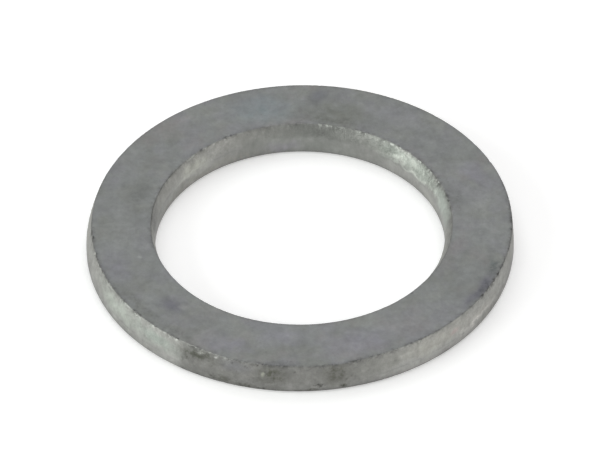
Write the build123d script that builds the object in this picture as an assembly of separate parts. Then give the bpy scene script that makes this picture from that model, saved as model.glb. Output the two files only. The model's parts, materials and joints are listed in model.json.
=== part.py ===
"""Flat sealing washer, blanked from steel strip in one stroke of a compound die.

The ring lies on its die-rolled side. Origin: the centre of the bore on the lower face.
+Z runs up along the bore. Lengths are in millimetres.

One stroke cuts the rim and the bore between two tools. The lower tool, a blanking die with
a piercing punch in it, leaves a rounded lower edge and a straight burnished land on both
walls. Above the lands the metal broke away, so both walls slope to the outline of the
upper tool. That tool stood a little to one side, so the slopes are wide on one side of
the ring and narrow on the other.
"""

import os

from build123d import *

# The ring, measured over its burnished lands
OUTER_DIAMETER = 18.0
BORE_DIAMETER = 12.2
THICKNESS = 1.5

# Die roll: the radius of each lower edge, where the strip was drawn down before it sheared
RIM_DIE_ROLL = 0.25
BORE_DIE_ROLL = 0.25

# Height above the lower face at which each burnished land ends
RIM_LAND_TOP = 0.51
BORE_LAND_TOP = 0.80

# Break-away: how far each wall slopes back into the ring between its land and the top face
RIM_BREAKAWAY = 0.14
BORE_BREAKAWAY = 0.24

# How far the upper tool stood from the lower tool's axis, along +X
TOOL_OFFSET = 0.08

# Radius of the top edges, where tumbling took the burr off
TUMBLED_EDGE = 0.04


def sheared_part(land_radius, roll_radius, foot_radius, land_top):
    """The turned body inside a wall from the lower face to the top of its land.

    foot_radius is where the die roll meets the lower face: inside the land on the rim,
    outside it on the bore.
    """
    quarter_turn = 0.5**0.5
    roll_centre = foot_radius
    towards_land = (land_radius - foot_radius) * quarter_turn
    roll_middle = (roll_centre + towards_land, roll_radius * (1 - quarter_turn))
    with BuildSketch(Plane.XZ) as half_section:
        with BuildLine():
            Line((0, 0), (foot_radius, 0))
            ThreePointArc((foot_radius, 0), roll_middle, (land_radius, roll_radius))
            Line((land_radius, roll_radius), (land_radius, land_top))
            Line((land_radius, land_top), (0, land_top))
            Line((0, land_top), (0, 0))
        make_face()
    return revolve(half_section.sketch, axis=Axis.Z)


def broken_part(land_radius, land_top, top_radius):
    """The sloping body above a land, up to the upper tool's outline on the top face."""
    land_outline = Plane.XY.offset(land_top) * Circle(land_radius)
    top_outline = Pos(TOOL_OFFSET, 0, THICKNESS) * Circle(top_radius)
    return loft([land_outline, top_outline], ruled=True)


def blank():
    """The whole disc inside the rim, before the bore is taken out."""
    radius = OUTER_DIAMETER / 2
    sheared = sheared_part(radius, RIM_DIE_ROLL, radius - RIM_DIE_ROLL, RIM_LAND_TOP)
    broken = broken_part(radius, RIM_LAND_TOP, radius - RIM_BREAKAWAY)
    return sheared + broken


def slug():
    """The metal that the bore's tools take out of the blank."""
    radius = BORE_DIAMETER / 2
    sheared = sheared_part(radius, BORE_DIE_ROLL, radius + BORE_DIE_ROLL, BORE_LAND_TOP)
    broken = broken_part(radius, BORE_LAND_TOP, radius + BORE_BREAKAWAY)
    return sheared + broken


def washer_ring():
    """The finished ring: the blank less the slug, with its top edges tumbled round."""
    ring = blank() - slug()
    top_face = ring.faces().sort_by(Axis.Z)[-1]
    return fillet(top_face.edges(), TUMBLED_EDGE)


def main():
    os.makedirs("parts", exist_ok=True)
    export_step(washer_ring(), "parts/washer_ring.step")


if __name__ == "__main__":
    main()
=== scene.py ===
"""A blanked and zinc-plated steel sealing washer, built as a finished ring around its CAD frame.

The ring is one Geometry Nodes tree. Strips of faces run round the section from the lower face, up
the rim, over the top face and down the bore. Each strip is one zone of the sheared edge, and the
values that it stores on the mesh drive the zinc coat.

The ring's sizes and the stage are in metres. Marks, spans and patterns are in millimetres, with a
pattern's scale given per millimetre. Directions are in degrees from the x axis.
"""

import json
import math
from types import SimpleNamespace
from typing import NamedTuple

import bpy
from mathutils import Matrix, Vector


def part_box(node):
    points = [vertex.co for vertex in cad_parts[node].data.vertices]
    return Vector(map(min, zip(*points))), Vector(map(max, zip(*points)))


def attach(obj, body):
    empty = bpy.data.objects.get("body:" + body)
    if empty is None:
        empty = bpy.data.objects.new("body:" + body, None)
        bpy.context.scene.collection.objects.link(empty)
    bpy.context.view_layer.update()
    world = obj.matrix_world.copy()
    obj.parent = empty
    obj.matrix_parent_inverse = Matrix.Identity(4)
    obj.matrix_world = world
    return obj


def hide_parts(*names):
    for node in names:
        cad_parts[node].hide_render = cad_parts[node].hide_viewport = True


bl_info = {
    "name": "Blanked Sealing Washer",
    "version": (1, 0, 0),
    "blender": (4, 5, 0),
    "location": "3D View > Sidebar > Washer",
    "description": "Builds a zinc-plated sealing washer with sheared edges, and a plain studio",
    "category": "Object",
}

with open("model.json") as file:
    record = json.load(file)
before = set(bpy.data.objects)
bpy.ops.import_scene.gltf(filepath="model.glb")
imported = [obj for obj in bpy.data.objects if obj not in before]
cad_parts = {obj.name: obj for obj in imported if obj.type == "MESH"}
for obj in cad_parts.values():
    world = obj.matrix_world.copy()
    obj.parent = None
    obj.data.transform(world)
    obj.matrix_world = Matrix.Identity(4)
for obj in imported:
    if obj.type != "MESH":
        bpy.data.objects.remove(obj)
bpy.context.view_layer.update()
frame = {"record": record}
NODE = "washer_ring"
BODY = "root"

MM = 0.001
PER_MM = 1 / MM
TAU = 2 * math.pi

RING_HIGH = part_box(NODE)[1]
BORE_RADIUS = frame["record"]["mounts"][0]["dims"]["r_mm"] * MM


# ---------------------------------------------------------------- sizes, colours and the stage's settings


def length(label, text, default):
    """A size in metres."""
    return bpy.props.FloatProperty(
        name=label, description=text, default=default, min=0.0, subtype="DISTANCE", unit="LENGTH", precision=6
    )


def angle(label, text, degrees):
    """An angle, which defaults to a number of degrees."""
    return bpy.props.FloatProperty(
        name=label, description=text, default=math.radians(degrees), subtype="ANGLE", unit="ROTATION"
    )


def colour(label, text, default):
    """A colour as it looks on screen."""
    return bpy.props.FloatVectorProperty(
        name=label, description=text, default=default, size=3, min=0.0, max=1.0, subtype="COLOR_GAMMA"
    )


class RingSizes(bpy.types.PropertyGroup):
    """The ring's section and how rough its sheared edges are. Each is an input of the ring's tree."""

    rim_radius: length("Rim radius", "Radius over the burnished land of the rim", RING_HIGH.y)
    bore_radius: length("Bore radius", "Radius of the bore at its burnished land", BORE_RADIUS)
    thickness: length("Thickness", "Height of the top face", RING_HIGH.z)
    rim_die_roll: length("Rim die roll", "Radius of the rim's lower edge", 0.25 * MM)
    bore_die_roll: length("Bore die roll", "Radius of the bore's lower edge", 0.25 * MM)
    rim_land_top: length("Rim land top", "Height at which the rim's burnished land ends", 0.51 * MM)
    bore_land_top: length("Bore land top", "Height at which the bore's burnished land ends", 0.80 * MM)
    rim_breakaway: length("Rim break-away", "How far the rim slopes back above its land", 0.14 * MM)
    bore_breakaway: length("Bore break-away", "How far the bore slopes back above its land", 0.24 * MM)
    tool_offset: length("Tool offset", "How far the upper tool stood to one side", 0.08 * MM)
    tumbled_edge: length("Tumbled edge", "Radius of the top edges", 0.04 * MM)
    top_margin: length("Top margin", "Width of the fine rows of faces along the top edges", 0.25 * MM)
    land_waviness: length("Land waviness", "How far the top of each land wanders up and down", 0.12 * MM)
    fracture_depth: length("Fracture depth", "Depth of the ridges where the metal broke", 0.035 * MM)
    nick_depth: length("Nick depth", "Depth of the nicks along the top edges", 0.07 * MM)
    pit_depth: length("Pit depth", "Depth of the pits in the torn patch of the rim", 0.07 * MM)
    torn_middle: angle("Torn middle", "Direction of the torn patch from the axis", -94)
    torn_spread: angle("Torn spread", "How far the torn patch runs to either side", 30)
    segments: bpy.props.IntProperty(name="Segments", description="Faces round the ring", default=1200, min=16)
    seed: bpy.props.IntProperty(name="Seed", description="Picks the pattern of nicks and ridges", default=3)


class FinishColours(bpy.types.PropertyGroup):
    """The colours of the zinc coat in each zone, and of the shade and glints painted on it, as they look on
    screen.
    """

    face_tint: colour("Face", "Grey of the flat faces", (0.509, 0.519, 0.515))
    olive_tint: colour("Olive", "Warmer blotches on the faces", (0.509, 0.518, 0.503))
    violet_tint: colour("Violet", "Cooler blotches on the faces", (0.510, 0.514, 0.522))
    blush_tint: colour("Blush", "Pinker blotches on the faces", (0.520, 0.513, 0.511))
    fracture_tint: colour("Break-away", "Bright metal of the broken slopes", (0.620, 0.620, 0.605))
    land_tint: colour("Land", "Burnished metal of the lands", (0.626, 0.626, 0.614))
    torn_tint: colour("Torn patch", "Dull metal of the torn patch", (0.464, 0.464, 0.452))
    # Darker colour in the pits of the torn patch: grime and painted shade
    pit_tint: colour("Pits", "Dirt in the pits of the torn patch", (0.27, 0.27, 0.235))
    # Painted shade along the top edges and in the line where the lands end, with some grime
    shade_and_dirt_tint: colour("Dirt", "Dirt along the top edges", (0.34, 0.34, 0.335))
    # Painted glints on the burrs of the top edges
    burr_glint_tint: colour("Flecks", "Bright burr flecks along the top edges", (0.74, 0.75, 0.73))


class StageSettings(bpy.types.PropertyGroup):
    """The studio: floor and camera."""

    lens: bpy.props.FloatProperty(
        name="Lens", description="Focal length", default=712.0, min=1.0, subtype="DISTANCE_CAMERA"
    )
    camera_distance: length("Camera distance", "From the bore's centre to the camera", 0.5)
    camera_elevation: angle("Camera elevation", "Height of the camera's view above the floor", 41.74)
    camera_roll: angle("Camera roll", "Turn of the camera about its own line of sight", -0.82)
    camera_rise: length("Camera rise", "How far above the bore's centre the camera points", 0.486 * MM)
    floor_tint: colour("Floor", "Colour of the floor", (0.96, 0.96, 0.96))


# ---------------------------------------------------------------- wiring nodes


def srgb(red, green, blue):
    """A colour written as it looks on screen, as the linear colour that a shader takes."""

    def linear(value):
        if value <= 0.04045:
            return value / 12.92
        return ((value + 0.055) / 1.055) ** 2.4

    return (linear(red), linear(green), linear(blue), 1.0)


class Pattern(NamedTuple):
    """A noise pattern: its features to a millimetre, its seed, its octaves and how strong they stay."""

    scale: float
    seed: int
    detail: float = 2.0
    roughness: float = 0.5


class Patches(NamedTuple):
    """A pattern's patches. They give start where its noise is below low, and end where it is above high."""

    pattern: Pattern
    low: float
    high: float
    start: float = 0.0
    end: float = 1.0


class Wiring:
    """Adds nodes to one tree and links them. The functions that wire a tree call theirs w.

    An input takes a socket, a number or a tuple.
    """

    def __init__(self, tree):
        self.tree = tree

    def feed(self, socket, value):
        """Links a socket to an input, or sets the input's own value."""
        if isinstance(value, bpy.types.NodeSocket):
            self.tree.links.new(value, socket)
        else:
            socket.default_value = value

    def node(self, kind, inputs=None, **settings):
        """A new node with its settings made before its inputs are fed."""
        made = self.tree.nodes.new(kind)
        for name, value in settings.items():
            setattr(made, name, value)
        for key, value in (inputs or {}).items():
            self.feed(made.inputs[key], value)
        return made

    def math(self, operation, *values, clamp=False):
        made = self.node("ShaderNodeMath", operation=operation, use_clamp=clamp)
        for socket, value in zip(made.inputs, values):
            self.feed(socket, value)
        return made.outputs[0]

    def add(self, *values):
        total = values[0]
        for value in values[1:]:
            total = self.math("ADD", total, value)
        return total

    def times(self, *values):
        product = values[0]
        for value in values[1:]:
            product = self.math("MULTIPLY", product, value)
        return product

    def minus(self, first, second):
        return self.math("SUBTRACT", first, second)

    def rest(self, share):
        """What a share leaves of the whole."""
        return self.minus(1.0, share)

    def power(self, value, exponent):
        return self.math("POWER", value, exponent)

    def absolute(self, value):
        return self.math("ABSOLUTE", value)

    def larger(self, first, second):
        return self.math("MAXIMUM", first, second)

    def either(self, first, second):
        """The sum of two shares, kept from 0 to 1."""
        return self.math("ADD", first, second, clamp=True)

    def vector_math(self, operation, *values):
        made = self.node("ShaderNodeVectorMath", operation=operation)
        for socket, value in zip(made.inputs, values):
            self.feed(socket, value)
        return made.outputs[0]

    def measured(self, operation, *vectors):
        """The number that a vector operation gives, such as a length."""
        inputs = dict(enumerate(vectors))
        return self.node("ShaderNodeVectorMath", inputs, operation=operation).outputs["Value"]

    def scaled(self, vector, factor):
        made = self.node("ShaderNodeVectorMath", {"Vector": vector, "Scale": factor}, operation="SCALE")
        return made.outputs[0]

    def vector(self, x, y, z):
        return self.node("ShaderNodeCombineXYZ", {"X": x, "Y": y, "Z": z}).outputs[0]

    def split(self, vector):
        return self.node("ShaderNodeSeparateXYZ", {"Vector": vector}).outputs

    def between(self, first, second, share):
        """The point that lies a share of the way from the first point to the second."""
        made = self.node("ShaderNodeMix", data_type="VECTOR")
        self.feed(made.inputs[0], share)
        self.feed(made.inputs[4], first)
        self.feed(made.inputs[5], second)
        return made.outputs[1]

    def ramp(self, value, low, high, start=0.0, end=1.0, smooth=True):
        """start below low, end above high, and a smooth or a straight change between."""
        inputs = {"Value": value, "From Min": low, "From Max": high, "To Min": start, "To Max": end}
        kind = "SMOOTHSTEP" if smooth else "LINEAR"
        return self.node("ShaderNodeMapRange", inputs, interpolation_type=kind).outputs[0]

    def noise(self, vector, pattern):
        """A pattern's noise, from 0 to 1. Its fourth coordinate is the seed."""
        inputs = {"Vector": vector, "W": pattern.seed, "Scale": pattern.scale}
        inputs.update({"Detail": pattern.detail, "Roughness": pattern.roughness})
        return self.node("ShaderNodeTexNoise", inputs, noise_dimensions="4D").outputs[0]

    def drift(self, vector, pattern):
        """A pattern's noise about 0."""
        return self.minus(self.noise(vector, pattern), 0.5)

    def patchy(self, vector, patches, smooth=True):
        """How strongly some patches show."""
        pattern, low, high, start, end = patches
        return self.ramp(self.noise(vector, pattern), low, high, start, end, smooth)


# ---------------------------------------------------------------- the ring's node tree

# Rows of faces in each zone of the section, from the lower face round to the foot of the bore
ROWS = {
    "lower_face": 2,
    "rim_roll": 6,
    "rim_land": 7,
    "rim_fracture": 18,
    "rim_edge": 4,
    "rim_margin": 4,
    "top_face": 6,
    "bore_margin": 4,
    "bore_edge": 4,
    "bore_fracture": 14,
    "bore_land": 7,
    "bore_roll": 5,
}

# How the tops of the lands wander
RIM_LAND_SWELL, RIM_LAND_RIPPLE = Pattern(0.35, 11), Pattern(2.2, 12)
BORE_LAND_SWELL, BORE_LAND_RIPPLE = Pattern(0.45, 13), Pattern(2.2, 14)
RIPPLE_SHARE = 0.35
# The burr teeth of the top edges
RIM_BURRS = Pattern(4.0, 15, detail=4.0)
BORE_BURRS = Pattern(4.0, 16, detail=4.0)
# The relief of the break-away slopes, the nicks in the top edges and the pits of the torn patch
BREAK_RIDGES = Pattern(5.0, 21, detail=3.0, roughness=0.6)
BREAK_GRAINS = Pattern(7.0, 22, detail=3.0, roughness=0.65)
BREAK_SWELLS = Pattern(0.9, 23)
EDGE_CHIPS = Patches(Pattern(3.0, 24, detail=3.0, roughness=0.6), low=0.56, high=0.74)
TORN_PITS = Patches(Pattern(3.5, 25, detail=3.0, roughness=0.6), low=0.60, high=0.72)
# How much each pattern of the slopes counts, and the sum at which the metal stands as drawn
RIDGES_SHARE, GRAINS_SHARE, SWELLS_SHARE = 0.8, 0.6, 0.9
LEVEL_SUM = 1.0

# The ridges are drawn out up the wall, because their pattern sees only this share of the height
BORE_DRAWING, RIM_DRAWING = 0.45, 0.85
# Distances from the axis over which the bore's side of the ring gives way to the rim's
HALFWAY = (8.0, 8.2)

# The torn patch starts and ends over these shares of its spread, from its middle
TORN_START = (-1.05, -0.97)
TORN_END = (0.35, 1.25)
# Round its middle the rim keeps a share of its break-away, and has all of it past the second angle
TORN_UPRIGHT_ANGLES = (12, 28)
TORN_BREAKAWAY_SHARE = 0.1

# How fast a zone's value fades from one of its ends: the higher the power, the shorter the reach
EDGE_FADE = 8.0
MARGIN_FADE = 2.0
SEAM_FADE_ABOVE = 24.0
SEAM_FADE_BELOW = 6.0
# A break-away slope leans back by this power of its height
SLOPE_LEAN = 1.5
# The share of a break-away slope over which burnished metal gives way to broken metal
BURNISH_END = 0.3
# Points closer than this are one
MERGE_DISTANCE = 0.001 * MM


class Stretch(NamedTuple):
    """A factor round the ring: one value inside an angle from its middle, another outside a wider one."""

    middle: float
    inner_angle: float
    outer_angle: float
    inside: float
    outside: float


# Where the burr teeth are long
RIM_TEETH = Stretch(middle=230, inner_angle=50, outer_angle=90, inside=0.6, outside=0.15)
BORE_TEETH = Stretch(middle=62, inner_angle=30, outer_angle=55, inside=1.0, outside=0.15)
# Where the bore's ridges are shallow, and where the top edges are chipped
CALM_BACK = Stretch(middle=90, inner_angle=20, outer_angle=40, inside=0.4, outside=1.0)
RIM_CHIPS = Stretch(middle=90, inner_angle=80, outer_angle=115, inside=0.35, outside=1.0)
BORE_CHIPS = Stretch(middle=90, inner_angle=40, outer_angle=65, inside=1.0, outside=0.0)


class Zone(NamedTuple):
    """A strip of the section: where its points lie, and the values that it stores for the coat."""

    name: str
    points: object
    # Broken metal, burnished metal, nearness to a top edge, and the line where a land ends
    fracture: object = 0.0
    burnish: object = 0.0
    edge: object = 0.0
    seam: object = 0.0


class RingWiring(Wiring):
    """Wires the ring's tree. A strip starts as a unit grid: x runs round the ring, y along the section."""

    def __init__(self, tree):
        super().__init__(tree)
        sockets = self.node("NodeGroupInput").outputs
        self.size = SimpleNamespace(**dict(zip(RingSizes.__annotations__, sockets)))
        place = self.split(self.node("GeometryNodeInputPosition").outputs[0])
        self.turn = self.times(self.add(place[0], 0.5), TAU)
        self.along = self.add(place[1], 0.5)
        self.back = self.rest(self.along)
        self.outward = self.vector(self.math("COSINE", self.turn), self.math("SINE", self.turn), 0.0)
        self.reach = self.scaled(self.outward, self.times(self.size.rim_radius, PER_MM))

    def noise(self, vector, pattern):
        """A pattern's noise, which the ring's seed varies."""
        return super().noise(vector, pattern._replace(seed=self.add(self.size.seed, pattern.seed)))

    def wave(self, pattern, amount):
        """A wander to either side of 0 that closes on itself round the ring."""
        return self.times(self.drift(self.reach, pattern), self.times(2.0, amount))

    def stretch(self, direction, stretch):
        """A stretch's factor at a direction."""
        apart = self.absolute(self.minus(direction, math.radians(stretch.middle)))
        inner, outer = math.radians(stretch.inner_angle), math.radians(stretch.outer_angle)
        return self.ramp(apart, inner, outer, stretch.inside, stretch.outside)

    def circle(self, radius, height, offset=0.0):
        return self.vector_math("ADD", self.scaled(self.outward, radius), self.vector(offset, 0.0, height))

    def top_circle(self, radius):
        """A circle on the top face, which the upper tool set off to one side."""
        return self.circle(radius, self.size.thickness, self.size.tool_offset)

    def straight(self, start, end):
        return self.between(start, end, self.along)

    def leaning(self, start, end, share):
        """A slope that leaves the land upright and leans further back as it rises."""
        lean = self.between(start, end, self.power(share, SLOPE_LEAN))
        rise = self.between(start, end, share)
        return self.vector(self.split(lean)[0], self.split(lean)[1], self.split(rise)[2])

    def rounded(self, start, corner, end):
        """A quarter turn that leaves start towards the corner and arrives from it at end."""
        quarter = self.times(self.along, TAU / 4)
        out = self.scaled(self.vector_math("SUBTRACT", corner, start), self.math("SINE", quarter))
        back = self.scaled(self.vector_math("SUBTRACT", end, corner), self.rest(self.math("COSINE", quarter)))
        return self.vector_math("ADD", start, self.vector_math("ADD", out, back))

    def recall(self, name):
        """A value that an earlier part of the tree stored."""
        return self.node("GeometryNodeInputNamedAttribute", {"Name": name}, data_type="FLOAT").outputs[0]

    def stored(self, geometry, name, value):
        """The geometry with a value stored on each of its points."""
        inputs = {"Geometry": geometry, "Name": name, "Value": value}
        made = self.node("GeometryNodeStoreNamedAttribute", inputs, data_type="FLOAT", domain="POINT")
        return made.outputs[0]


def declare_sockets(tree):
    """Gives the tree one input for each of the ring's sizes, and its output."""
    tree.interface.new_socket("Geometry", in_out="OUTPUT", socket_type="NodeSocketGeometry")
    kinds = {"FLOAT": "NodeSocketFloat", "INT": "NodeSocketInt"}
    for name in RingSizes.__annotations__:
        size = RingSizes.bl_rna.properties[name]
        socket = tree.interface.new_socket(size.name, in_out="INPUT", socket_type=kinds[size.type])
        socket.description = size.description


def wandering_land(w, height, swell, ripple):
    """The height of a land's top, which wanders up and down round the ring."""
    waviness = w.size.land_waviness
    return w.add(height, w.wave(swell, waviness), w.wave(ripple, w.times(waviness, RIPPLE_SHARE)))


def wall_circles(w, radius, die_roll, land_height, into_metal, breakaway, teeth):
    """The circles that part one wall's zones. into_metal takes a radius further into the ring's metal."""
    top_radius = into_metal(radius, breakaway)
    teeth_radius = into_metal(top_radius, teeth)
    land_top = w.circle(radius, land_height)
    shoulder = w.top_circle(teeth_radius)
    below_edge = w.math("DIVIDE", w.size.tumbled_edge, w.minus(w.size.thickness, land_height))
    return SimpleNamespace(
        foot=w.circle(into_metal(radius, die_roll), 0.0),
        corner=w.circle(radius, 0.0),
        roll_top=w.circle(radius, die_roll),
        land_top=land_top,
        plain_low=w.between(w.top_circle(top_radius), land_top, below_edge),
        edge_low=w.between(shoulder, land_top, below_edge),
        shoulder=shoulder,
        edge_high=w.top_circle(into_metal(teeth_radius, w.size.tumbled_edge)),
        inset=w.top_circle(into_metal(top_radius, w.size.top_margin)),
    )


def rim_circles(w):
    """The rim's circles. Its slope stands more upright at the torn patch, and its teeth only cut in."""
    from_torn = w.absolute(w.minus(w.minus(w.turn, TAU), w.size.torn_middle))
    inner, outer = (math.radians(each) for each in TORN_UPRIGHT_ANGLES)
    upright = w.ramp(from_torn, inner, outer, TORN_BREAKAWAY_SHARE, 1.0)
    teeth = w.wave(RIM_BURRS, w.times(w.size.nick_depth, w.stretch(w.turn, RIM_TEETH)))
    return wall_circles(
        w,
        radius=w.size.rim_radius,
        die_roll=w.size.rim_die_roll,
        land_height=wandering_land(w, w.size.rim_land_top, RIM_LAND_SWELL, RIM_LAND_RIPPLE),
        into_metal=w.minus,
        breakaway=w.times(w.size.rim_breakaway, upright),
        teeth=w.absolute(teeth),
    )


def bore_circles(w):
    """The bore's circles. Its teeth stand out as well as cut in."""
    return wall_circles(
        w,
        radius=w.size.bore_radius,
        die_roll=w.size.bore_die_roll,
        land_height=wandering_land(w, w.size.bore_land_top, BORE_LAND_SWELL, BORE_LAND_RIPPLE),
        into_metal=w.add,
        breakaway=w.size.bore_breakaway,
        teeth=w.wave(BORE_BURRS, w.times(w.size.nick_depth, w.stretch(w.turn, BORE_TEETH))),
    )


def slope(w, wall, risen, at_edge):
    """A break-away slope, plain at its foot and toothed where it meets the edge."""
    plain = w.leaning(wall.land_top, wall.plain_low, risen)
    toothed = w.leaning(wall.land_top, wall.edge_low, risen)
    return w.between(plain, toothed, at_edge)


def rim_zones(w, rim):
    """The rim's zones, from the lower face up to the margin of the top face."""
    along, back = w.along, w.back
    at_edge, broken = w.power(along, EDGE_FADE), w.ramp(along, 0.0, BURNISH_END)
    above_seam, below_seam = w.power(back, SEAM_FADE_ABOVE), w.power(along, SEAM_FADE_BELOW)
    return [
        Zone("rim_roll", w.rounded(rim.foot, rim.corner, rim.roll_top), burnish=1.0),
        Zone("rim_land", w.straight(rim.roll_top, rim.land_top), burnish=1.0, seam=below_seam),
        Zone("rim_fracture", slope(w, rim, along, at_edge), broken, w.rest(broken), at_edge, above_seam),
        Zone("rim_edge", w.rounded(rim.edge_low, rim.shoulder, rim.edge_high), fracture=back, edge=1.0),
        Zone("rim_margin", w.straight(rim.edge_high, rim.inset), edge=w.power(back, MARGIN_FADE)),
    ]


def bore_zones(w, bore):
    """The bore's zones, from the margin of the top face down to the lower face."""
    along, back = w.along, w.back
    at_edge, broken = w.power(back, EDGE_FADE), w.ramp(back, 0.0, BURNISH_END)
    above_seam, below_seam = w.power(along, SEAM_FADE_ABOVE), w.power(back, SEAM_FADE_BELOW)
    return [
        Zone("bore_margin", w.straight(bore.inset, bore.edge_high), edge=w.power(along, MARGIN_FADE)),
        Zone("bore_edge", w.rounded(bore.edge_high, bore.shoulder, bore.edge_low), fracture=along, edge=1.0),
        Zone("bore_fracture", slope(w, bore, back, at_edge), broken, w.rest(broken), at_edge, above_seam),
        Zone("bore_land", w.straight(bore.land_top, bore.roll_top), burnish=1.0, seam=below_seam),
        Zone("bore_roll", w.rounded(bore.roll_top, bore.corner, bore.foot), burnish=1.0),
    ]


def zone_strip(w, zone):
    """One zone's faces, put in place, with its values stored on them."""
    columns, rows = w.add(w.size.segments, 1), ROWS[zone.name] + 1
    grid = {"Size X": 1.0, "Size Y": 1.0, "Vertices X": columns, "Vertices Y": rows}
    strip = w.node("GeometryNodeMeshGrid", grid).outputs[0]
    for name in ("fracture", "burnish", "edge", "seam"):
        strip = w.stored(strip, name, getattr(zone, name))
    return w.node("GeometryNodeSetPosition", {"Geometry": strip, "Position": zone.points}).outputs[0]


def joined_zones(w):
    """All the zones' strips as one mesh, closed where they meet."""
    rim, bore = rim_circles(w), bore_circles(w)
    lower_face = Zone("lower_face", w.straight(bore.foot, rim.foot))
    top_face = Zone("top_face", w.straight(rim.inset, bore.inset))
    zones = [lower_face, *rim_zones(w, rim), top_face, *bore_zones(w, bore)]
    join = w.node("GeometryNodeJoinGeometry")
    # The join puts its newest link first
    for zone in reversed(zones):
        w.tree.links.new(zone_strip(w, zone), join.inputs[0])
    merge = {"Geometry": join.outputs[0], "Distance": MERGE_DISTANCE}
    return w.node("GeometryNodeMergeByDistance", merge).outputs[0]


def place_on_ring(w):
    """Where a point of the joined ring lies: in millimetres, by direction, and on which wall."""
    here = w.scaled(w.node("GeometryNodeInputPosition").outputs[0], PER_MM)
    spot = w.split(here)
    from_axis = w.measured("LENGTH", w.vector_math("MULTIPLY", here, (1.0, 1.0, 0.0)))
    direction = w.math("ARCTAN2", spot[1], spot[0])
    return SimpleNamespace(here=here, spot=spot, direction=direction, on_rim=w.ramp(from_axis, *HALFWAY))


def break_relief(w, at):
    """Depth of the ridges and grains where the metal broke."""
    calm = w.larger(at.on_rim, w.stretch(at.direction, CALM_BACK))
    height = w.times(at.spot[2], w.ramp(at.on_rim, 0.0, 1.0, BORE_DRAWING, RIM_DRAWING))
    ridges = w.times(w.noise(w.vector(at.spot[0], at.spot[1], height), BREAK_RIDGES), RIDGES_SHARE)
    grains = w.times(w.noise(at.here, BREAK_GRAINS), GRAINS_SHARE)
    swells = w.times(w.noise(at.here, BREAK_SWELLS), SWELLS_SHARE)
    rough = w.minus(w.add(ridges, grains, swells), LEVEL_SUM)
    return w.times(w.recall("fracture"), w.size.fracture_depth, calm, rough)


def edge_nicks(w, at):
    """Depth of the nicks along the top edges."""
    on_rim = w.times(at.on_rim, w.stretch(at.direction, RIM_CHIPS))
    on_bore = w.times(w.rest(at.on_rim), w.stretch(at.direction, BORE_CHIPS))
    chips = w.patchy(at.here, EDGE_CHIPS)
    return w.times(w.recall("edge"), w.size.nick_depth, chips, w.larger(on_rim, on_bore))


def torn_patch(w, at):
    """How far a point belongs to the rim's torn patch, which starts sharply and peters out."""
    past_middle = w.math("DIVIDE", w.minus(at.direction, w.size.torn_middle), w.size.torn_spread)
    torn = w.times(w.ramp(past_middle, *TORN_START), w.ramp(past_middle, *TORN_END, 1.0, 0.0))
    return w.times(torn, at.on_rim, w.either(w.recall("fracture"), w.recall("burnish")))


def ring_tree(material):
    """The node tree that makes the ring from its sizes."""
    tree = bpy.data.node_groups.new("Sheared Ring", "GeometryNodeTree")
    declare_sockets(tree)
    w = RingWiring(tree)
    at = place_on_ring(w)
    torn = torn_patch(w, at)
    pit = w.times(torn, w.patchy(at.here, TORN_PITS))
    depth = w.add(break_relief(w, at), edge_nicks(w, at), w.times(pit, w.size.pit_depth))
    inwards = w.scaled(w.node("GeometryNodeInputNormal").outputs[0], w.times(depth, -1.0))
    plain = w.stored(w.stored(joined_zones(w), "torn", torn), "pit", pit)
    shaped = w.node("GeometryNodeSetPosition", {"Geometry": plain, "Offset": inwards})
    smooth = w.node("GeometryNodeSetShadeSmooth", {"Geometry": shaped.outputs[0]})
    real = w.node("GeometryNodeRealizeInstances", {"Geometry": smooth.outputs[0]})
    finished = w.node("GeometryNodeSetMaterial", {"Geometry": real.outputs[0], "Material": material})
    w.node("NodeGroupOutput", {0: finished.outputs[0]})
    return tree


# ---------------------------------------------------------------- the zinc coat


class Mark(NamedTuple):
    """A soft-edged mark on the coat, such as a bloom, a smudge, the painted shade of a hollow or a painted
    highlight.
    """

    name: str
    # Where its middle lies: direction, distance from the axis, and height
    direction: float
    radius: float
    height: float
    # Half sizes round the ring, across it and upwards
    spread: tuple
    # Its colour, and how much of it covers the coat below
    tint: tuple
    share: float
    # Turn of its long side from the tangent
    tilt: float = 0.0


TOP = RING_HIGH.z / MM
# Half size upwards of a mark on a face
FACE_MARK_HEIGHT = 1.0


def face_mark(name, direction, radius, spread, tint, share, tilt=0.0):
    """A mark on the top face, with its half sizes round the ring and across it."""
    return Mark(name, direction, radius, TOP, (*spread, FACE_MARK_HEIGHT), tint, share, tilt)


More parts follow.
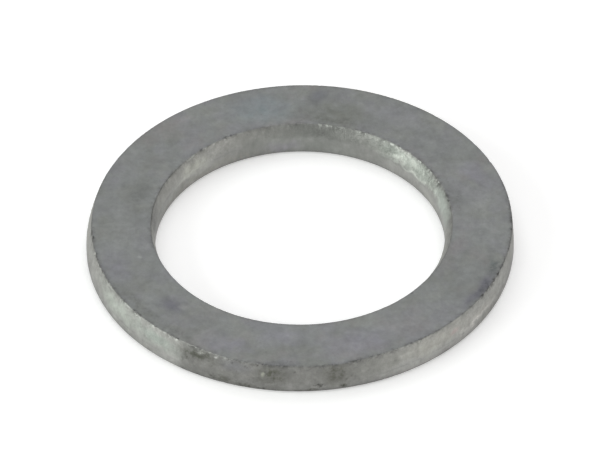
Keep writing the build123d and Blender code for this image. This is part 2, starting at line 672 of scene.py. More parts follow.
# Blooms, sweeps and smudges on the top face
FACE_MARKS = [
    face_mark("blue bloom at the back", 101.5, 7.4, (1.8, 1.2), (0.495, 0.530, 0.538), 0.7),
    face_mark("dark smudge at the back", 84, 8.1, (0.8, 0.50), (0.435, 0.440, 0.457), 0.8, tilt=60),
    face_mark("olive shade by the bore", 77, 7.1, (2.3, 1.05), (0.440, 0.449, 0.425), 0.7),
    face_mark("pale bloom at the back", 57, 7.9, (1.8, 1.1), (0.545, 0.548, 0.562), 0.7),
    face_mark("dull sweep on the right", 40, 7.5, (2.4, 1.2), (0.475, 0.485, 0.480), 0.8, tilt=10),
    face_mark("violet bloom on the right", 21, 8.1, (1.2, 0.6), (0.515, 0.515, 0.540), 0.7, tilt=20),
    face_mark("pale sweep on the right", 9, 7.5, (1.5, 1.0), (0.535, 0.543, 0.538), 0.5),
    face_mark("green spot on the right", -19, 8.5, (0.35, 0.18), (0.410, 0.440, 0.437), 0.6, tilt=40),
    face_mark("brown tinge by the bore", -17, 6.7, (1.8, 0.5), (0.512, 0.502, 0.502), 0.6),
    face_mark("smudge along the edge", -27, 8.70, (1.0, 0.40), (0.440, 0.439, 0.468), 0.8),
    face_mark("smudge along the edge", -34, 8.65, (0.9, 0.35), (0.440, 0.439, 0.466), 0.8),
    face_mark("pit near the bore", -44, 6.5, (0.13, 0.10), (0.360, 0.360, 0.365), 0.8),
    face_mark("pale sweep in front", -56, 7.6, (1.4, 1.0), (0.535, 0.540, 0.545), 0.5),
    face_mark("violet bloom in front", -72, 7.9, (2.6, 1.0), (0.517, 0.517, 0.542), 0.7),
    face_mark("violet bloom by the bore", -97, 7.2, (1.5, 0.8), (0.528, 0.530, 0.550), 0.7),
    face_mark("violet bloom at the front left", -112, 8.1, (1.5, 0.7), (0.512, 0.512, 0.538), 0.7),
    face_mark("dull sweep at the front left", -121, 7.4, (1.6, 1.0), (0.482, 0.492, 0.486), 0.7),
    face_mark("thumb mark", -136.8, 7.4, (0.90, 0.55), (0.440, 0.442, 0.462), 0.9, tilt=10),
    face_mark("pale rim of the thumb mark", -133.2, 7.1, (0.35, 0.25), (0.545, 0.550, 0.545), 0.7, tilt=10),
    face_mark("violet bloom on the left", -162, 8.0, (1.6, 0.9), (0.515, 0.516, 0.540), 0.7),
    face_mark("fleck on the left", -163.4, 7.0, (0.16, 0.12), (0.600, 0.615, 0.600), 0.7),
    face_mark("pale patch on the left", -172, 7.4, (1.3, 1.0), (0.525, 0.535, 0.530), 0.8),
    face_mark("pale sweep on the left", 173, 7.7, (1.9, 0.7), (0.530, 0.540, 0.535), 0.8, tilt=30),
    face_mark("dull patch by the bore", 160, 6.9, (1.2, 0.6), (0.455, 0.465, 0.458), 0.8),
    face_mark("pale patch by the edge", 149, 8.3, (1.3, 0.6), (0.525, 0.533, 0.530), 0.5),
]
# Clusters of dark specks on the top face
FACE_SPECKS = [
    face_mark("specks by the edge", -143, 8.40, (1.8, 0.40), (0.430, 0.438, 0.425), 0.8),
    face_mark("specks by the edge", -127, 8.45, (1.0, 0.35), (0.440, 0.445, 0.440), 0.7),
    face_mark("specks by the edge", -96, 8.80, (1.6, 0.20), (0.420, 0.425, 0.430), 0.7),
    face_mark("specks by the bore", 79, 6.60, (1.8, 0.35), (0.410, 0.418, 0.400), 0.8),
    face_mark("specks by the bore", 12, 6.70, (1.6, 0.30), (0.440, 0.445, 0.440), 0.6),
    face_mark("dark specks at the edge", -29, 8.72, (0.9, 0.20), (0.340, 0.345, 0.365), 0.8),
    face_mark("dark specks at the edge", -20, 8.62, (0.7, 0.30), (0.370, 0.385, 0.380), 0.7),
    face_mark("specks on the left", 165, 7.10, (1.4, 0.80), (0.450, 0.458, 0.450), 0.6),
]
# Brighter and duller stretches of the two walls: partly the metal's own patches, partly painted highlights
# and shade
WALL_MARKS = [
    Mark("bright break at the left", -150, 8.9, 1.00, (2.2, 1.0, 0.60), (0.690, 0.720, 0.685), 0.6),
    Mark("bright break at the front left", -133, 8.9, 0.95, (1.7, 1.0, 0.50), (0.605, 0.635, 0.608), 0.8),
    Mark("dull land at the left", -146, 9.0, 0.28, (3.4, 1.5, 0.28), (0.575, 0.580, 0.568), 0.4),
    Mark("bright break at the right", -52, 8.9, 1.00, (2.8, 1.0, 0.60), (0.655, 0.650, 0.618), 0.4),
    Mark("bright low break at the right", -33, 8.9, 0.80, (1.6, 1.0, 0.40), (0.710, 0.698, 0.678), 0.5),
    # A painted highlight
    Mark("painted pink highlight", -44.6, 8.9, 0.90, (0.40, 1.0, 0.18), (0.710, 0.640, 0.635), 0.6),
    Mark("dark land at the right", -25, 9.0, 0.30, (2.4, 1.2, 0.22), (0.490, 0.490, 0.465), 0.5),
    # A painted highlight line above the land
    Mark("painted highlight above the right land", -35, 9.0, 0.66, (1.7, 1.0, 0.13), (0.760, 0.752, 0.735), 0.8),
    Mark("pale land in front", -91, 9.0, 0.34, (4.9, 1.9, 0.26), (0.560, 0.560, 0.550), 0.65),
    # A painted highlight
    Mark("painted highlight sliver", -100.4, 8.9, 0.95, (0.08, 1.0, 0.22), (0.740, 0.750, 0.700), 0.9),
    Mark("bright break in the bore", 136, 6.3, 0.95, (1.2, 1.0, 0.40), (0.720, 0.722, 0.685), 0.6),
    Mark("start of the bright break", 51, 6.3, 1.10, (1.3, 1.0, 0.60), (0.500, 0.520, 0.497), 0.85),
    Mark("bright break in the bore", 33, 6.3, 1.10, (2.0, 1.0, 0.50), (0.625, 0.652, 0.622), 0.7),
    Mark("bright end of the break", 13, 6.3, 1.10, (1.6, 1.0, 0.50), (0.735, 0.762, 0.735), 0.8),
    Mark("dull stretch left of the back", 112, 6.3, 0.90, (1.9, 1.0, 1.60), (0.520, 0.522, 0.508), 0.8),
    Mark("dull back of the bore", 84, 6.3, 0.90, (5.4, 1.6, 1.80), (0.495, 0.505, 0.490), 0.87),
    Mark("violet back of the bore", 96, 6.3, 0.55, (1.1, 1.0, 0.40), (0.560, 0.550, 0.575), 0.6),
    Mark("grey stretch at the front right", -68, 8.9, 1.05, (2.0, 1.0, 0.65), (0.520, 0.522, 0.505), 0.8),
    Mark("dull foot at the left", -176, 8.9, 0.30, (2.2, 1.0, 0.50), (0.520, 0.515, 0.510), 0.8),
    Mark("dull foot at the right", -6, 8.9, 0.30, (2.0, 1.0, 0.50), (0.560, 0.560, 0.560), 0.6),
    Mark("bright foot of the bore", 24, 6.1, 0.30, (1.2, 1.0, 0.50), (0.720, 0.720, 0.700), 0.6),
    # Painted shade of a hollow under the edge
    Mark("painted shade of a hollow under the edge", -118.9, 8.9, 1.12, (0.55, 1.0, 0.15), (0.310, 0.314, 0.290), 0.9),
    Mark("violet stretch under the face", -108, 8.95, 1.15, (0.95, 1.0, 0.45), (0.500, 0.503, 0.518), 0.6),
    # Painted glints under the edge
    Mark("painted glint under the edge", -113.6, 8.92, 1.32, (0.11, 1.0, 0.08), (0.800, 0.800, 0.790), 0.9),
    Mark("painted glint under the edge", -118.0, 8.92, 1.30, (0.16, 1.0, 0.07), (0.760, 0.760, 0.740), 0.8),
    Mark("speckled land on the left", 134, 6.1, 0.36, (3.6, 1.5, 0.34), (0.565, 0.565, 0.540), 0.7),
    # Painted highlight lines along the bore's break and land
    Mark("painted highlight above the land", 143, 6.15, 0.80, (1.0, 1.0, 0.12), (0.760, 0.765, 0.735), 0.6),
    Mark("painted highlight under the break", 36, 6.13, 0.88, (2.6, 1.0, 0.13), (0.750, 0.765, 0.738), 0.7),
    Mark("pale land under the break", 34, 6.10, 0.60, (2.8, 1.0, 0.12), (0.665, 0.668, 0.652), 0.4),
    Mark("dull end of the bore", 173, 6.3, 1.00, (1.1, 1.0, 0.80), (0.480, 0.480, 0.480), 0.6),
]
# Dark marks in the torn patch: painted shade in clusters of small hollows, and darker torn blocks
TORN_MARKS = [
    Mark("painted shade of hollows under the edge", -118.6, 8.9, 1.14, (1.25, 1.0, 0.34), (0.350, 0.356, 0.325), 0.9),
    Mark("painted shade of hollows low down", -111.5, 8.9, 0.36, (0.70, 1.0, 0.26), (0.345, 0.348, 0.318), 0.7),
    Mark("painted shade of hollows low down", -106, 8.9, 0.24, (0.60, 1.0, 0.20), (0.335, 0.338, 0.310), 0.7),
    Mark("torn block", -98.0, 8.9, 0.95, (0.80, 1.0, 0.70), (0.350, 0.355, 0.315), 0.85),
    Mark("torn block", -80.8, 8.9, 1.00, (0.75, 1.0, 0.90), (0.390, 0.390, 0.355), 0.7),
    Mark("painted shade of a hollow low down", -79.0, 8.9, 0.32, (0.22, 1.0, 0.20), (0.270, 0.272, 0.240), 1.0),
    Mark("painted shade of a hollow low down", -87.5, 8.9, 0.22, (0.30, 1.0, 0.14), (0.310, 0.310, 0.280), 0.9),
    Mark("painted shade of a hollow low down", -91.0, 8.9, 0.16, (0.25, 1.0, 0.12), (0.320, 0.320, 0.290), 0.8),
]


class Span(NamedTuple):
    """A soft-ended span round the ring, with its half width."""

    direction: float
    spread: float
    share: float


# Where dark dashes lie along the top edges: painted shade in the nicks and tumbled edges, with some grime
RIM_EDGE_SHADE = [
    Span(-10, 34, 1.0),
    Span(-42, 20, 0.45),
    Span(-66, 20, 0.9),
    Span(-88, 20, 0.8),
    Span(-120, 15, 0.5),
    Span(-156, 30, 0.7),
]
BORE_EDGE_SHADE = [Span(174, 26, 0.6), Span(134, 30, 0.5), Span(104, 24, 0.4), Span(75, 30, 0.5), Span(28, 26, 0.7)]
# Where a painted shadow line shows at the top of the bore's land
BORE_SEAM_SHADOW = [Span(146, 36, 1.0), Span(28, 30, 0.6)]
# Where the top edges are frayed, with bright burrs that carry painted glints
RIM_FRAYED = [Span(-148, 28, 0.8), Span(-116, 14, 0.35)]
BORE_FRAYED = [Span(60, 32, 0.65), Span(38, 26, 1.0), Span(128, 16, 0.6)]
# The share of a span's half width that has its full strength
SPAN_CORE = 0.6
# How much painted edge shade with grime, and how many painted glints, lie along the edges outside these spans
STRAY_EDGE_SHADE = 0.15
STRAY_GLINTS = 0.2

# A mark fades out at this many half sizes from its middle, and is strongest at this nearness to it
MARK_REACH = 1.1
MARK_CORE = 0.91
# A mark with a larger half size than this, round the ring or across it, is a wide one
SMALL_MARK = 1.0
# Noise that moves the outlines of marks, and how far it moves wide ones and small ones
STRAY_NOISE = {"Scale": 1.1, "Detail": 4.0, "Roughness": 0.65}
WIDE_STRAY = 1.4
SMALL_STRAY = 0.35
# What breaks up the marks: specks, clouds, and haze, which is this power of the clouds
MARK_SPECKS = Patches(Pattern(4.0, 50, 4.0, 0.7), 0.42, 0.58, start=0.3)
MARK_CLOUDS = Patches(Pattern(1.8, 51, 5.0, 0.7), 0.30, 0.70, start=0.35, end=1.35)
HAZE_POWER = 0.3

# Clouds, specks and tone of the faces
OLIVE_CLOUDS = Patches(Pattern(0.55, 31, 5.0, 0.65), 0.42, 0.60)
VIOLET_CLOUDS = Patches(Pattern(0.7, 32, 5.0, 0.65), 0.45, 0.62)
BLUSH_CLOUDS = Patches(Pattern(0.5, 33, 6.0, 0.7), 0.50, 0.66)
FACE_DOTS = Patches(Pattern(3.0, 34, 4.0, 0.7), 0.62, 0.74, start=1.0, end=0.86)
FACE_TONE, FACE_TONE_SWING = Pattern(0.4, 41, 7.0, 0.8), 0.62
FACE_GRAIN, FACE_GRAIN_SWING = Pattern(3.0, 42, 4.0, 0.7), 0.52
# Sets of scratches: their direction, their lines and the patches that hold them
SCRATCHES = [
    (35, Pattern(6.0, 61), Patches(Pattern(0.5, 62, 3.0), 0.45, 0.65)),
    (-50, Pattern(6.0, 63), Patches(Pattern(0.5, 64, 3.0), 0.45, 0.65)),
    (100, Pattern(6.0, 65), Patches(Pattern(0.5, 66, 3.0), 0.45, 0.65)),
]
# How far their lines are drawn out, and how much they show
SCRATCH_DRAWING = (3.0, 1.0, 1.0)
SCRATCH_AMOUNT = 0.16
# Tone, streaks and grain of the walls
WALL_TONE, WALL_TONE_SWING = Pattern(0.6, 43, 7.0, 0.8), 0.9
WALL_STREAKS = Pattern(4.0, 44, 3.0, 0.6)
WALL_GRAIN = Pattern(3.0, 45, 4.0, 0.75)
# Streaks stand upright, because their pattern sees only a share of the height
STREAK_DRAWING = (1.0, 1.0, 0.3)
# How much the bore is streaked, and how much less the rim is
STREAKED, LESS_ON_RIM = 0.42, 0.20
# How much grain the walls have, and what the rim and the frayed part of the bore have on top
GRAINY, MORE_ON_RIM, MORE_WHERE_FRAYED = 0.3, 0.6, 1.3
# Painted shade at the foot of the walls: it darkens between these heights, down to a share of its brightness
FOOT_SHADE_HEIGHTS = (0.05, 0.50)
FOOT_SHADE_SHARE = 0.87
# What breaks up the painted shadow line, the painted edge shade with grime, and the painted glints along the
# edges
SEAM_SHADOW_BREAKS = Patches(Pattern(1.5, 53, 4.0, 0.7), 0.40, 0.60, start=0.2)
EDGE_SHADE_PATCHES = Patches(Pattern(2.2, 48, 5.0, 0.75), 0.40, 0.62, start=0.45)
EDGE_SHADE_DASHES = Patches(Pattern(4.0, 52, 3.0, 0.6), 0.44, 0.60, start=0.3, end=1.15)
GLINT_GRAIN = Patches(Pattern(4.5, 49, 3.0, 0.6), 0.50, 0.62)
# Sheen and fine relief
SHEEN_CLOUDS = Pattern(3.0, 35)
FINE_GRAIN = Pattern(12.0, 36, 3.0, 0.6)
FINE_RIDGES = Pattern(7.0, 37, 3.0, 0.6)

# Distances from the axis over which the bore's finish gives way to the rim's
COAT_HALFWAY = (7.5, 7.7)
# How much of the colour below each layer covers. The pits take grime and painted shade, the seam a painted
# shadow line, and the edges painted shade with grime and painted glints
CLOUD_COVER = 0.8
BLUSH_COVER = 0.7
TORN_COVER = 0.75
PIT_COVER = 0.7
SEAM_SHADOW_COVER = 0.26
EDGE_SHADE_COVER = 0.85
GLINT_COVER = 0.7

# Roughness of the coat, how far it swings, and how much smoother the lands are
ROUGHNESS = 0.5
ROUGHNESS_SWING = 0.25
LAND_POLISH = -0.06
# The tint of reflections at a grazing angle, and the depth of the fine relief
GRAZING_TINT = (0.7, 0.7, 0.7, 1.0)
GRAIN_STRENGTH = 0.7
GRAIN_DEPTH = 0.016 * MM
# How much of that depth the grain has on the faces, and has on top of it on broken metal
GRAIN_ON_FACES, GRAIN_ON_BREAKS = 0.4, 1.2
# How much of it the upright ridges have on broken metal, and on burnished metal
RIDGES_ON_BREAKS, RIDGES_ON_LANDS = 0.8, 0.4


class CoatWiring(Wiring):
    """Wires the zinc coat, and holds what its layers share."""

    def __init__(self, tree):
        super().__init__(tree)
        coordinates = self.node("ShaderNodeTexCoord").outputs["Object"]
        self.here = self.mapped(coordinates, (PER_MM, PER_MM, PER_MM))
        self.fracture, self.burnish = self.recall("fracture"), self.recall("burnish")
        self.edge, self.torn = self.recall("edge"), self.recall("torn")

        stray = {"Vector": self.here, **STRAY_NOISE}
        swirl = self.node("ShaderNodeTexNoise", stray, noise_dimensions="3D").outputs["Color"]
        astray = self.vector_math("SUBTRACT", swirl, (0.5, 0.5, 0.5))
        self.strayed = self.vector_math("ADD", self.here, self.scaled(astray, WIDE_STRAY))
        self.strayed_little = self.vector_math("ADD", self.here, self.scaled(astray, SMALL_STRAY))

        self.speckled = self.patchy(self.here, MARK_SPECKS)
        self.cloudy = self.patchy(self.here, MARK_CLOUDS, smooth=False)
        self.hazy = self.power(self.cloudy, HAZE_POWER)

        spot = self.split(self.here)
        self.height = spot[2]
        level_spot = self.vector(spot[0], spot[1], 0.0)
        self.outward = self.vector_math("NORMALIZE", level_spot)
        self.on_rim = self.ramp(self.measured("LENGTH", level_spot), *COAT_HALFWAY)
        self.on_bore = self.rest(self.on_rim)
        self.upright = self.mapped(self.here, STREAK_DRAWING)
        self.bore_frayed = self.times(self.on_bore, self.sectors(BORE_FRAYED))

    def mapped(self, vector, scale):
        return self.node("ShaderNodeMapping", {"Vector": vector, "Scale": scale}).outputs[0]

    def recall(self, name):
        """A value that the ring's tree stored on the mesh."""
        return self.node("ShaderNodeAttribute", attribute_name=name, attribute_type="GEOMETRY").outputs["Fac"]

    def mix(self, share, first, second):
        """The first colour with a share of the second laid over it."""
        made = self.node("ShaderNodeMix", data_type="RGBA")
        self.feed(made.inputs[0], share)
        self.feed(made.inputs[6], first)
        self.feed(made.inputs[7], second)
        return made.outputs[2]

    def swing(self, vector, pattern, amount):
        """A factor that swings about 1."""
        return self.add(1.0, self.times(self.drift(vector, pattern), amount))

    def sectors(self, spans):
        """The strongest of some spans round the ring."""
        total = 0.0
        for span in spans:
            heading = math.radians(span.direction)
            towards = (math.cos(heading), math.sin(heading), 0.0)
            apart = self.math("ARCCOSINE", self.measured("DOT_PRODUCT", self.outward, towards))
            core, end = math.radians(span.spread * SPAN_CORE), math.radians(span.spread)
            total = self.larger(total, self.ramp(apart, core, end, span.share, 0.0))
        return total

    def marked(self, base, marks, wide_grain, small_grain):
        """The base colour with marks laid on it, each broken up by the grain for its size."""
        for mark in marks:
            heading = math.radians(mark.direction)
            wide = max(mark.spread[:2]) > SMALL_MARK
            ball = {
                "Vector": self.strayed if wide else self.strayed_little,
                "Location": (mark.radius * math.cos(heading), mark.radius * math.sin(heading), mark.height),
                "Rotation": (0.0, 0.0, heading + math.radians(90 + mark.tilt)),
                "Scale": [MARK_REACH * half for half in mark.spread],
            }
            inside = self.node("ShaderNodeMapping", ball, vector_type="TEXTURE", label=mark.name).outputs[0]
            nearness = self.node("ShaderNodeTexGradient", {"Vector": inside}, gradient_type="SPHERICAL")
            cover = self.ramp(nearness.outputs["Fac"], 0.0, MARK_CORE, 0.0, mark.share)
            share = self.math("MULTIPLY", cover, wide_grain if wide else small_grain, clamp=True)
            base = self.mix(share, base, srgb(*mark.tint))
        return base

    def scratches(self, direction, lines, patches):
        """A factor of fine lines that run one way over the faces, in patches."""
        drawn_out = {
            "Vector": self.here,
            "Rotation": (0.0, 0.0, math.radians(direction)),
            "Scale": SCRATCH_DRAWING,
        }
        one_way = self.node("ShaderNodeMapping", drawn_out, vector_type="TEXTURE").outputs[0]
        return self.swing(one_way, lines, self.times(self.patchy(self.here, patches), SCRATCH_AMOUNT))


def face_colour(w, finish):
    """The flat faces: grey zinc with clouds of olive, violet and pink, blooms, specks and scratches."""
    face = srgb(*finish.face_tint)
    face = w.mix(w.times(w.patchy(w.here, OLIVE_CLOUDS), CLOUD_COVER), face, srgb(*finish.olive_tint))
    face = w.mix(w.times(w.patchy(w.here, VIOLET_CLOUDS), CLOUD_COVER), face, srgb(*finish.violet_tint))
    face = w.mix(w.times(w.patchy(w.here, BLUSH_CLOUDS), BLUSH_COVER), face, srgb(*finish.blush_tint))
    face = w.marked(face, FACE_MARKS, w.cloudy, w.hazy)
    face = w.marked(face, FACE_SPECKS, w.speckled, w.speckled)
    tone = w.swing(w.here, FACE_TONE, FACE_TONE_SWING)
    grain = w.swing(w.here, FACE_GRAIN, FACE_GRAIN_SWING)
    scratches = [w.scratches(*each) for each in SCRATCHES]
    return w.scaled(face, w.times(tone, grain, w.patchy(w.here, FACE_DOTS), *scratches))


def wall_colour(w, finish):
    """The walls: bright broken metal above burnished lands, a dull torn patch on the rim, and painted light
    and shade.
    """
    wall = w.mix(w.burnish, srgb(*finish.fracture_tint), srgb(*finish.land_tint))
    wall = w.mix(w.times(w.torn, TORN_COVER), wall, srgb(*finish.torn_tint))
    wall = w.marked(wall, WALL_MARKS, w.hazy, w.hazy)
    wall = w.marked(wall, TORN_MARKS, w.speckled, w.speckled)
    # The pits darken: grime and painted shade
    wall = w.mix(w.times(w.recall("pit"), PIT_COVER), wall, srgb(*finish.pit_tint))
    tone = w.swing(w.here, WALL_TONE, WALL_TONE_SWING)
    frayed = w.times(w.bore_frayed, w.fracture, MORE_WHERE_FRAYED)
    grain = w.swing(w.here, WALL_GRAIN, w.add(GRAINY, w.times(w.on_rim, MORE_ON_RIM), frayed))
    streaks = w.swing(w.upright, WALL_STREAKS, w.minus(STREAKED, w.times(w.on_rim, LESS_ON_RIM)))
    # Painted shade at the foot of the walls
    foot = w.ramp(w.height, *FOOT_SHADE_HEIGHTS, FOOT_SHADE_SHARE, 1.0)
    return w.scaled(wall, w.times(tone, grain, streaks, foot))


def with_seam_shadow(w, colour, finish):
    """The colour with a broken painted shadow line where the lands end."""
    where = w.add(w.on_rim, w.times(w.on_bore, w.sectors(BORE_SEAM_SHADOW)))
    seam = w.times(w.recall("seam"), where, w.rest(w.torn), w.patchy(w.here, SEAM_SHADOW_BREAKS))
    return w.mix(w.times(seam, SEAM_SHADOW_COVER), colour, srgb(*finish.shade_and_dirt_tint))


def with_edge_shade_and_dirt(w, colour, finish):
    """The colour with dark dashes along the top edges: painted shade in the nicks, with some grime."""
    on_rim, on_bore = w.times(w.on_rim, w.sectors(RIM_EDGE_SHADE)), w.times(w.on_bore, w.sectors(BORE_EDGE_SHADE))
    patches, dashes = w.patchy(w.here, EDGE_SHADE_PATCHES), w.patchy(w.here, EDGE_SHADE_DASHES)
    edge_shade = w.times(w.edge, w.add(on_rim, on_bore, STRAY_EDGE_SHADE), patches, dashes)
    return w.mix(w.times(edge_shade, EDGE_SHADE_COVER), colour, srgb(*finish.shade_and_dirt_tint))


def with_burr_glints(w, colour, finish):
    """The colour with painted glints on the burrs of the top edges."""
    where = w.add(STRAY_GLINTS, w.bore_frayed, w.times(w.on_rim, w.sectors(RIM_FRAYED)))
    glints = w.times(w.edge, w.fracture, w.patchy(w.here, GLINT_GRAIN), where)
    return w.mix(w.times(glints, GLINT_COVER), colour, srgb(*finish.burr_glint_tint))


def coat_roughness(w):
    """Even on the whole, and a little smoother on the lands."""
    cloud = w.times(w.drift(w.here, SHEEN_CLOUDS), ROUGHNESS_SWING)
    return w.add(ROUGHNESS, cloud, w.times(w.burnish, LAND_POLISH))


def coat_relief(w):
    """The surface's normal, with fine grain everywhere and upright ridges on the walls."""
    grainy = w.add(GRAIN_ON_FACES, w.times(w.fracture, GRAIN_ON_BREAKS))
    ridged = w.add(w.times(w.fracture, RIDGES_ON_BREAKS), w.times(w.burnish, RIDGES_ON_LANDS))
    grain, ridges = w.noise(w.here, FINE_GRAIN), w.noise(w.upright, FINE_RIDGES)
    height = w.add(w.times(grain, grainy), w.times(ridges, ridged))
    bump = {"Strength": GRAIN_STRENGTH, "Distance": GRAIN_DEPTH, "Height": height}
    return w.node("ShaderNodeBump", bump).outputs[0]


def zinc_plate(finish):
    """The zinc coat: mottled on the faces, bright where the metal broke, smoother on the lands, with painted
    shade, highlights and glints.
    """
    material = bpy.data.materials.new("Zinc Plate")
    material.use_nodes = True
    material.node_tree.nodes.clear()
    w = CoatWiring(material.node_tree)
    colour = w.mix(w.either(w.fracture, w.burnish), face_colour(w, finish), wall_colour(w, finish))
    # The layers add a painted shadow line, painted edge shade with grime, and painted glints on the burrs
    for layer in (with_seam_shadow, with_edge_shade_and_dirt, with_burr_glints):
        colour = layer(w, colour, finish)
    metal = {
        "Base Color": colour,
        "Metallic": 1.0,
        "Specular Tint": GRAZING_TINT,
        "Roughness": coat_roughness(w),
        "Normal": coat_relief(w),
    }
    shader = w.node("ShaderNodeBsdfPrincipled", metal)
    w.node("ShaderNodeOutputMaterial", {"Surface": shader.outputs[0]})
    return material


def ring_mesh(context, tree):
    """The tree's result as a plain mesh."""
    blank = bpy.data.objects.new("ring_blank", bpy.data.meshes.new("ring_blank"))
    context.scene.collection.objects.link(blank)
    modifier = blank.modifiers.new("Sheared Ring", "NODES")
    modifier.node_group = tree
    sockets = [item for item in tree.interface.items_tree if item.in_out == "INPUT"]
    for name, socket in zip(RingSizes.__annotations__, sockets):
        modifier[socket.identifier] = getattr(context.scene.washer_ring, name)
    graph = context.evaluated_depsgraph_get()
    mesh = bpy.data.meshes.new_from_object(
        blank.evaluated_get(graph), preserve_all_data_layers=True, depsgraph=graph
    )
    bpy.data.objects.remove(blank)
    mesh.name = "plated_ring"
    return mesh


class WASHER_OT_ring(bpy.types.Operator):
    """Builds the ring with its sheared edges and zinc finish."""

    bl_idname = "washer.ring"
    bl_label = "Build Ring"

    def execute(self, context):
        tree = ring_tree(zinc_plate(context.scene.washer_finish))
        ring = bpy.data.objects.new("plated_ring", ring_mesh(context, tree))
        context.scene.collection.objects.link(ring)
        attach(ring, BODY)
        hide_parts(NODE)
        return {"FINISHED"}


# ---------------------------------------------------------------- the stage

FLOOR_HALF_WIDTH = 0.6
# Light that the floor gives off only towards the camera and in reflections, so that it shows white
FLOOR_LIFT = 0.26
# Brightness of the surround
SURROUND_LEVEL = 0.26
# Nearest and farthest distance that the camera sees
CAMERA_REACH = (0.05, 5.0)


class SoftBox(NamedTuple):
    """A rectangular lamp that faces the ring: its radiance is what its lit face shows."""

    name: str
    place: tuple
    width: float
    height: float
    radiance: float
    tint: tuple


SOFT_BOXES = [
    SoftBox("left_box", (-0.238, -0.077, 0.10), 0.25, 0.18, 3.3, (0.96, 1.0, 0.965)),
    SoftBox("right_box", (0.192, -0.161, 0.10), 0.25, 0.18, 1.6, (1.0, 0.985, 0.965)),
    SoftBox("back_box", (0.0, 0.174, 0.207), 0.30, 0.20, 1.2, (1.0, 1.0, 1.0)),
    SoftBox("top_box", (0.0, 0.0, 0.32), 0.30, 0.26, 0.9, (1.0, 1.0, 1.0)),
    SoftBox("front_box", (0.0, -0.22, 0.20), 0.26, 0.16, 0.9, (1.0, 1.0, 1.0)),
]


def light_soft_box(scene, box):
    """Hangs one soft box at its place, turned towards the ring and hidden from the camera."""
    lamp = bpy.data.lights.new(box.name, "AREA")
    lamp.shape = "RECTANGLE"
    lamp.size, lamp.size_y = box.width, box.height
    lamp.energy = box.radiance * math.pi * box.width * box.height
    lamp.color = box.tint
    made = bpy.data.objects.new(box.name, lamp)
    made.location = box.place
    made.rotation_euler = (-Vector(box.place)).to_track_quat("-Z", "Y").to_euler()
    made.visible_camera = False
    scene.collection.objects.link(made)


def floor_paper(stage):
    """White paper that keeps shadows."""
    material = bpy.data.materials.new("Floor Paper")
    material.use_nodes = True
    material.node_tree.nodes.clear()
    w = Wiring(material.node_tree)
    paper = w.node("ShaderNodeBsdfDiffuse", {"Color": srgb(*stage.floor_tint)}).outputs[0]
    rays = w.node("ShaderNodeLightPath").outputs
    seen = w.larger(rays["Is Camera Ray"], w.larger(rays["Is Glossy Ray"], rays["Is Transmission Ray"]))
    lift = w.node("ShaderNodeEmission", {"Strength": w.times(seen, FLOOR_LIFT)}).outputs[0]
    both = w.node("ShaderNodeAddShader", {0: paper, 1: lift}).outputs[0]
    w.node("ShaderNodeOutputMaterial", {"Surface": both})
    return material


def lay_floor(scene, stage):
    """The floor under the ring."""
    half = FLOOR_HALF_WIDTH
    mesh = bpy.data.meshes.new("studio_floor")
    corners = [(-half, -half, 0), (half, -half, 0), (half, half, 0), (-half, half, 0)]
    mesh.from_pydata(corners, [], [(0, 1, 2, 3)])
    mesh.materials.append(floor_paper(stage))
    floor = bpy.data.objects.new("studio_floor", mesh)
    scene.collection.objects.link(floor)


def set_surround(scene):
    """An even pale surround."""
    world = bpy.data.worlds.new("Studio Surround")
    scene.world = world
    world.use_nodes = True
    world.node_tree.nodes.clear()
    w = Wiring(world.node_tree)
    white = {"Color": (1.0, 1.0, 1.0, 1.0), "Strength": SURROUND_LEVEL}
    air = w.node("ShaderNodeBackground", white).outputs[0]
    w.node("ShaderNodeOutputWorld", {"Surface": air})


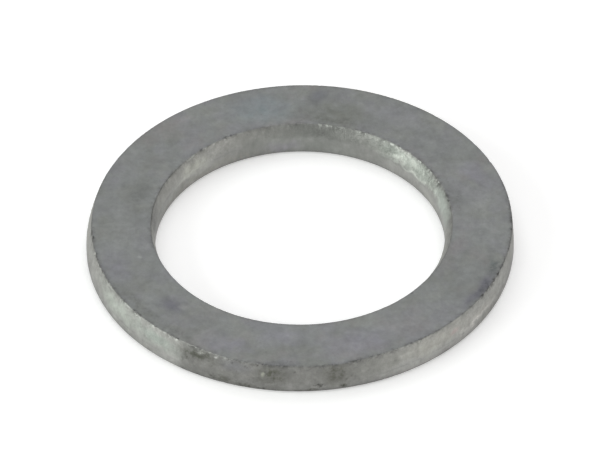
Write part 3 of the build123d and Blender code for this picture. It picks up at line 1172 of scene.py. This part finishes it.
def set_camera(scene, stage):
    """A long lens that looks down on the ring from in front."""
    data = bpy.data.cameras.new("camera")
    data.lens = stage.lens
    data.clip_start, data.clip_end = CAMERA_REACH
    camera = bpy.data.objects.new("camera", data)
    scene.collection.objects.link(camera)
    elevation = stage.camera_elevation
    back = Vector((0, -math.cos(elevation), math.sin(elevation)))
    up = Vector((0, math.sin(elevation), math.cos(elevation)))
    aim = up * stage.camera_rise
    turn = (-back).to_track_quat("-Z", "Y").to_matrix().to_4x4()
    roll = Matrix.Rotation(stage.camera_roll, 4, "Z")
    camera.matrix_world = Matrix.Translation(aim + back * stage.camera_distance) @ turn @ roll
    scene.camera = camera


class WASHER_OT_stage(bpy.types.Operator):
    """Builds the floor, the soft boxes, the pale surround and the camera."""

    bl_idname = "washer.stage"
    bl_label = "Build Stage"

    def execute(self, context):
        scene = context.scene
        lay_floor(scene, scene.washer_stage)
        set_surround(scene)
        for box in SOFT_BOXES:
            light_soft_box(scene, box)
        set_camera(scene, scene.washer_stage)
        scene.view_settings.view_transform = "Standard"
        return {"FINISHED"}


# ---------------------------------------------------------------- the sidebar and the run


class WASHER_PT_sidebar(bpy.types.Panel):
    """The washer's sizes, colours and buttons."""

    bl_idname = "WASHER_PT_sidebar"
    bl_label = "Sealing Washer"
    bl_space_type = "VIEW_3D"
    bl_region_type = "UI"
    bl_category = "Washer"

    def draw(self, context):
        scene = context.scene
        for values in (scene.washer_ring, scene.washer_finish, scene.washer_stage):
            column = self.layout.column(align=True)
            for name in type(values).__annotations__:
                column.prop(values, name)
        self.layout.operator(WASHER_OT_ring.bl_idname)
        self.layout.operator(WASHER_OT_stage.bl_idname)


CLASSES = (RingSizes, FinishColours, StageSettings, WASHER_OT_ring, WASHER_OT_stage, WASHER_PT_sidebar)


def register():
    for each in CLASSES:
        bpy.utils.register_class(each)
    bpy.types.Scene.washer_ring = bpy.props.PointerProperty(type=RingSizes)
    bpy.types.Scene.washer_finish = bpy.props.PointerProperty(type=FinishColours)
    bpy.types.Scene.washer_stage = bpy.props.PointerProperty(type=StageSettings)


def unregister():
    del bpy.types.Scene.washer_stage
    del bpy.types.Scene.washer_finish
    del bpy.types.Scene.washer_ring
    for each in reversed(CLASSES):
        bpy.utils.unregister_class(each)


def main():
    register()
    bpy.ops.washer.ring()
    bpy.ops.washer.stage()


if __name__ == "__main__":
    main()
